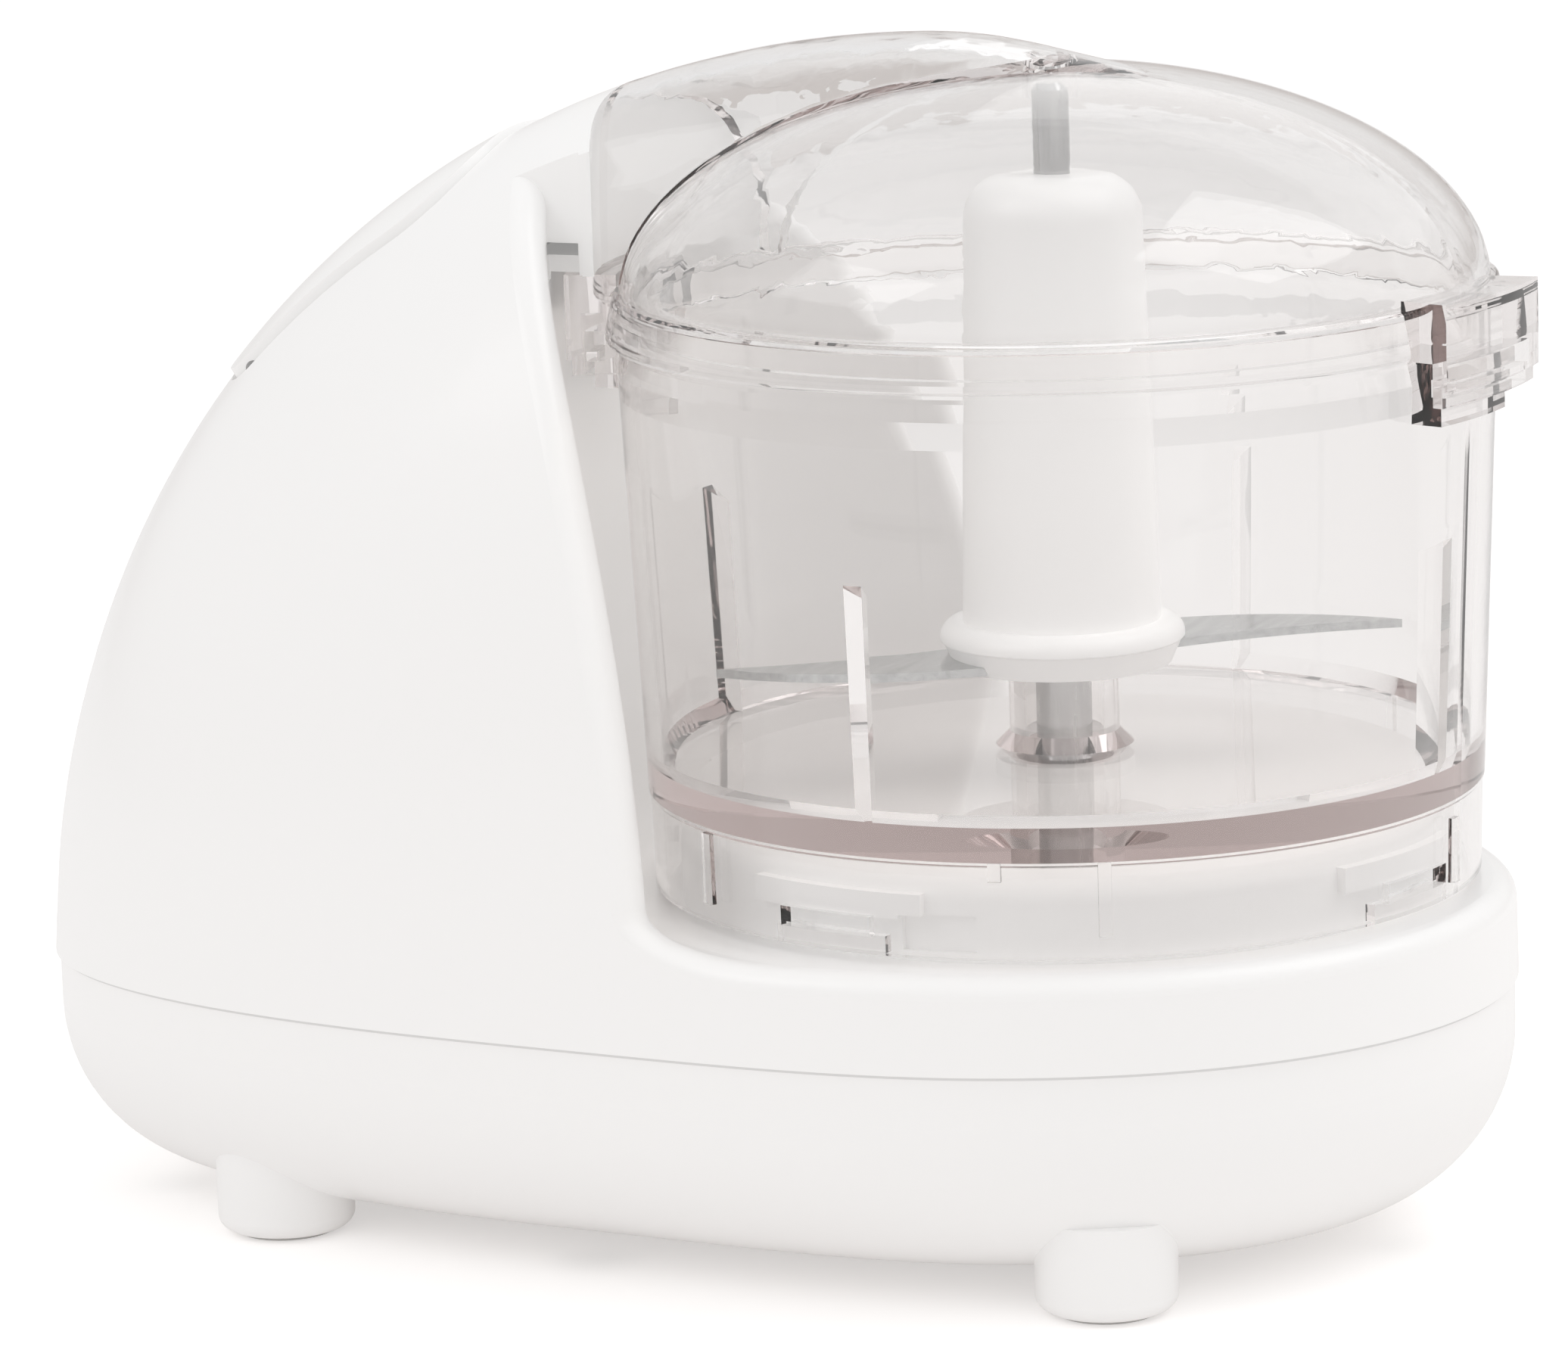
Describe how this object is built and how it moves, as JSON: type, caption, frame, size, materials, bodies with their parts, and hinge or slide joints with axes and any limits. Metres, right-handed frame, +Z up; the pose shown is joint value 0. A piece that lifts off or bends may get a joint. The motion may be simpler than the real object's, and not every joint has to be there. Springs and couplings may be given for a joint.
{
  "type": "mini food processor",
  "caption": "Compact electric chopper: domed motor housing with a press pad beside a clear lidded bowl with a spinning S-shaped blade.",
  "frame": {"origin": "centre of the footprint, on the surface that the feet stand on", "axes": "+X from the motor housing towards the bowl, +Y to the rear side, +Z up"},
  "size_m": [0.2262, 0.1344, 0.1715],
  "materials": {
    "white_shell": "satin gloss moulded white",
    "white_pad": "satin gloss moulded white",
    "white_foot": "satin moulded white",
    "foot_rubber": "soft matte",
    "clear_bowl": "clear polished",
    "clear_lid": "clear polished",
    "white_hub": "satin gloss, slightly translucent",
    "blade_steel": "ground and polished",
    "pin_steel": "polished",
    "shaft_steel": "ground",
    "plated_steel": "zinc plated",
    "drive_plastic": "glass-filled moulding",
    "belt_rubber": "ribbed belt",
    "bush_bronze": "sintered, oiled",
    "lamination": "stacked laminations",
    "copper_wire": "enamelled winding",
    "commutator_copper": "turned copper",
    "frame_alloy": "die cast",
    "carbon": "carbon block",
    "black_moulding": "moulded",
    "grey_rubber": "soft matte"
  },
  "bodies": {
    "motor_unit": {"upper_housing": "white_shell", "lower_housing": "white_shell", "foot_left_front": "white_foot", "foot_left_rear": "white_foot", "foot_right_front": "white_foot", "foot_right_rear": "white_foot", "foot_pads": "foot_rubber", "pad_hinge_pin": "shaft_steel", "housing_screws": "plated_steel", "bracket_screws": "plated_steel", "spindle_bracket": "plated_steel", "motor_bolts": "plated_steel", "pad_spring": "plated_steel", "drive_belt": "belt_rubber", "upper_spindle_bush": "bush_bronze", "lower_spindle_bush": "bush_bronze", "motor_bearings": "bush_bronze", "stator_core": "lamination", "field_coils": "copper_wire", "lower_motor_frame": "frame_alloy", "upper_motor_frame": "frame_alloy", "carbon_brushes": "carbon", "brush_holders": "black_moulding", "switch_block": "black_moulding", "motor_mounts": "grey_rubber", "spindle_seal": "grey_rubber", "cord_grommet": "grey_rubber"},
    "rotor": {"motor_shaft": "shaft_steel", "motor_pulley": "drive_plastic", "armature_core": "lamination", "armature_windings": "copper_wire", "commutator": "commutator_copper", "cooling_fan": "drive_plastic"},
    "spindle": {"drive_spindle": "shaft_steel", "drive_coupling": "drive_plastic", "spindle_pulley": "drive_plastic", "spindle_clip": "plated_steel"},
    "bowl": {"bowl": "clear_bowl"},
    "lid": {"lid": "clear_lid"},
    "blade": {"blade_hub": "white_hub", "lower_blade": "blade_steel", "upper_blade": "blade_steel", "blade_pin": "pin_steel"},
    "press_pad": {"press_pad": "white_pad"},
    "switch_plunger": {"switch_plunger": "black_moulding"},
    "interlock": {"interlock_slider": "black_moulding"}
  },
  "joints": [
    {"name": "spindle_spin", "type": "hinge", "parent": "motor_unit", "child": "spindle", "pos_m": [0.0428, 0, 0.06], "axis": [0, 0, 1], "continuous": true},
    {"name": "motor_spin", "type": "hinge", "parent": "motor_unit", "child": "rotor", "pos_m": [-0.0592, 0, 0.07], "axis": [0, 0, 1], "continuous": true},
    {"name": "blade_spin", "type": "hinge", "parent": "motor_unit", "child": "blade", "pos_m": [0.0428, 0, 0.1], "axis": [0, 0, 1], "continuous": true},
    {"name": "bowl_turn", "type": "hinge", "parent": "motor_unit", "child": "bowl", "pos_m": [0.0428, 0, 0.06], "axis": [0, 0, 1], "range_deg": [0, 30]},
    {"name": "lid_turn", "type": "hinge", "parent": "bowl", "child": "lid", "pos_m": [0.0428, 0, 0.134], "axis": [0, 0, 1], "range_deg": [0, 30]},
    {"name": "pad_press", "type": "hinge", "parent": "motor_unit", "child": "press_pad", "pos_m": [-0.07301, 0, 0.1234], "axis": [0, 1, 0], "range_deg": [0, 3.5], "stiffness_Nm_per_rad": 1.2, "springref_deg": -3.44, "deforming": ["pad_spring"]},
    {"name": "plunger_press", "type": "slide", "parent": "motor_unit", "child": "switch_plunger", "axis": [0, 0, -1], "range_m": [0, 0.0013]},
    {"name": "interlock_slide", "type": "slide", "parent": "motor_unit", "child": "interlock", "axis": [1, 0, 0], "range_m": [0, 0.0021]}
  ],
  "couplings": [
    {"joint": "motor_spin", "follows": "spindle_spin", "ratio": 4.3257},
    {"joint": "blade_spin", "follows": "spindle_spin", "ratio": 1},
    {"joint": "plunger_press", "follows": "pad_press", "m_per_rad": 0.02081},
    {"joint": "interlock_slide", "follows": "bowl_turn", "m_per_rad": 0.00382}
  ]
}
